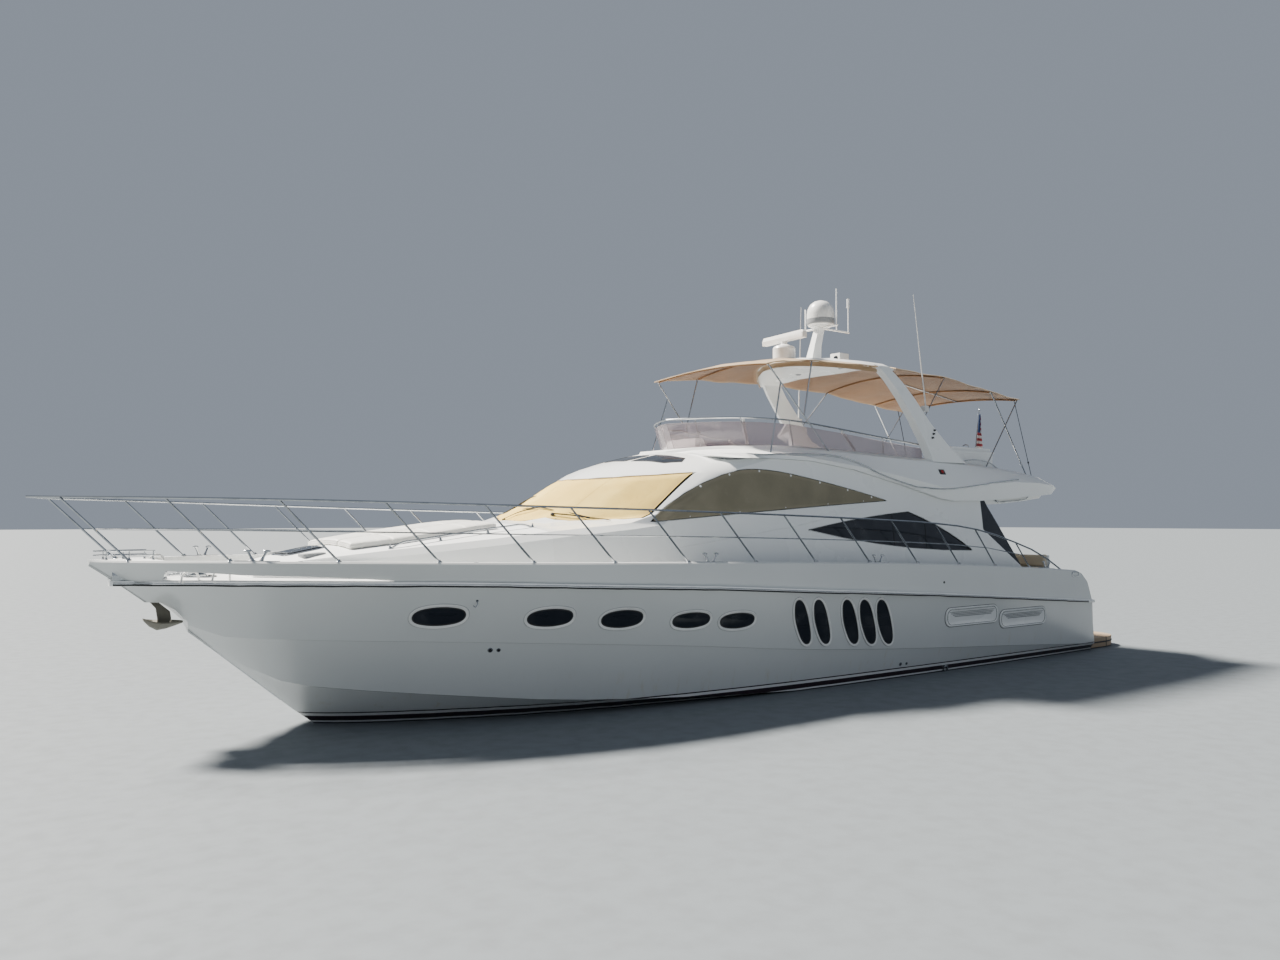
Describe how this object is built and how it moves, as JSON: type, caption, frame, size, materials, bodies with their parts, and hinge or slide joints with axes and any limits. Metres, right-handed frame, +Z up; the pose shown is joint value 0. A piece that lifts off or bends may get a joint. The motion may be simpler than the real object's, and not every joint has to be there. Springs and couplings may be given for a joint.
{
  "type": "motor yacht",
  "caption": "Flybridge motor yacht afloat: hull with guard rails, glazed saloon, covered screens, radar arch, shaded flybridge, moving scanner, doors, rudders and propellers",
  "frame": {"origin": "on the waterline at the middle of the waterline's length, on the centre line", "axes": "+X to the bow, +Y to port, +Z up"},
  "size_m": [20.356, 5.1646, 8.43],
  "materials": {
    "gelcoat": "glossy off-white gelcoat",
    "steel": "polished stainless steel",
    "dark_glass": "dark tinted glass",
    "perspex": "pale smoke-tinted acrylic",
    "cream_canvas": "matt warm cream canvas",
    "olive_mesh": "matt olive-brown mesh",
    "canopy_cloth": "matt tan canvas",
    "cushion": "soft off-white vinyl",
    "teak": "oiled teak",
    "bronze": "dull bronze",
    "plastic": "white radome plastic",
    "bunting": "limp woven flag cloth",
    "black_plastic": "black"
  },
  "bodies": {
    "boat": {"hull": "gelcoat", "rub_rail": "gelcoat", "deck": "gelcoat", "coachroof": "gelcoat", "deckhouse": "gelcoat", "windscreen": "dark_glass", "windscreen_cover": "cream_canvas", "side_window_port": "dark_glass", "side_window_cover_port": "olive_mesh", "quarter_window_port": "dark_glass", "wing_screen_port": "dark_glass", "side_window_starboard": "dark_glass", "side_window_cover_starboard": "olive_mesh", "quarter_window_starboard": "dark_glass", "wing_screen_starboard": "dark_glass", "saloon_fixed_panel": "dark_glass", "saloon_floor": "teak", "saloon_settee": "cushion", "saloon_dash": "teak", "flybridge": "gelcoat", "flybridge_screen": "perspex", "flybridge_rail": "steel", "radar_arch": "gelcoat", "canopy_forward": "canopy_cloth", "canopy_aft": "canopy_cloth", "canopy_frame_forward": "steel", "canopy_frame_aft": "steel", "radar_pedestal": "plastic", "aerial_mast": "gelcoat", "satellite_dome": "plastic", "night_camera": "plastic", "whip_aerial_port": "plastic", "whip_aerial_starboard": "plastic", "guard_rail": "steel", "anchor": "steel", "sun_pad": "cushion", "anchor_windlass": "steel", "bathing_platform": "gelcoat", "fly_console": "gelcoat", "fly_helm_seat": "cushion", "fly_settee": "cushion", "fly_table": "teak", "fly_sun_lounge": "cushion", "fly_wet_bar": "gelcoat", "ensign_staff": "steel", "ensign": "bunting", "cockpit_seat": "cushion", "fly_stair": "teak", "shaft_bracket_port": "bronze", "shaft_bracket_starboard": "bronze"},
    "radar_scanner": {"radar_scanner": "plastic"},
    "propeller_port": {"propeller_port": "bronze"},
    "propeller_starboard": {"propeller_starboard": "bronze"},
    "rudder_port": {"rudder_port": "bronze"},
    "rudder_starboard": {"rudder_starboard": "bronze"},
    "fly_wheel": {"fly_wheel": "black_plastic"},
    "saloon_door": {"saloon_door": "dark_glass"},
    "foredeck_hatch": {"foredeck_hatch": "dark_glass"},
    "garage_door": {"garage_door": "gelcoat"},
    "transom_gate": {"transom_gate": "gelcoat"}
  },
  "joints": [
    {"name": "radar_scanner_spin", "type": "hinge", "parent": "boat", "child": "radar_scanner", "pos_m": [-0.95, 0, 6], "axis": [0, 0, 1], "continuous": true},
    {"name": "propeller_port_spin", "type": "hinge", "parent": "boat", "child": "propeller_port", "pos_m": [-6.33, 0.95, -0.94629], "axis": [-0.9861, 0, -0.166], "continuous": true},
    {"name": "propeller_starboard_spin", "type": "hinge", "parent": "boat", "child": "propeller_starboard", "pos_m": [-6.33, -0.95, -0.94629], "axis": [-0.9861, 0, -0.166], "continuous": true},
    {"name": "rudder_port_turn", "type": "hinge", "parent": "boat", "child": "rudder_port", "pos_m": [-6.96, 0.95, -0.6], "axis": [0, 0, 1], "range_deg": [-35, 35]},
    {"name": "rudder_starboard_turn", "type": "hinge", "parent": "boat", "child": "rudder_starboard", "pos_m": [-6.96, -0.95, -0.6], "axis": [0, 0, 1], "range_deg": [-35, 35]},
    {"name": "fly_wheel_turn", "type": "hinge", "parent": "boat", "child": "fly_wheel", "pos_m": [0.6, -0.62, 3.88], "axis": [1, 0, 0], "range_deg": [-540, 540]},
    {"name": "saloon_door_slide", "type": "slide", "parent": "boat", "child": "saloon_door", "axis": [0, -1, 0], "range_m": [0, 1.4]},
    {"name": "foredeck_hatch_lift", "type": "hinge", "parent": "boat", "child": "foredeck_hatch", "pos_m": [8.328, 0, 2.2388], "axis": [0, 1, 0], "range_deg": [0, 75]},
    {"name": "garage_door_lift", "type": "hinge", "parent": "boat", "child": "garage_door", "pos_m": [-7.35505, 0, 0.96072], "axis": [0, 1, 0], "range_deg": [0, 80]},
    {"name": "transom_gate_swing", "type": "hinge", "parent": "boat", "child": "transom_gate", "pos_m": [-6.69, -1.95, 1.4], "axis": [0, 0, -1], "range_deg": [0, 90]}
  ],
  "couplings": [
    {"joint": "rudder_port_turn", "follows": "fly_wheel_turn", "ratio": -0.06475},
    {"joint": "rudder_starboard_turn", "follows": "fly_wheel_turn", "ratio": -0.06475}
  ]
}
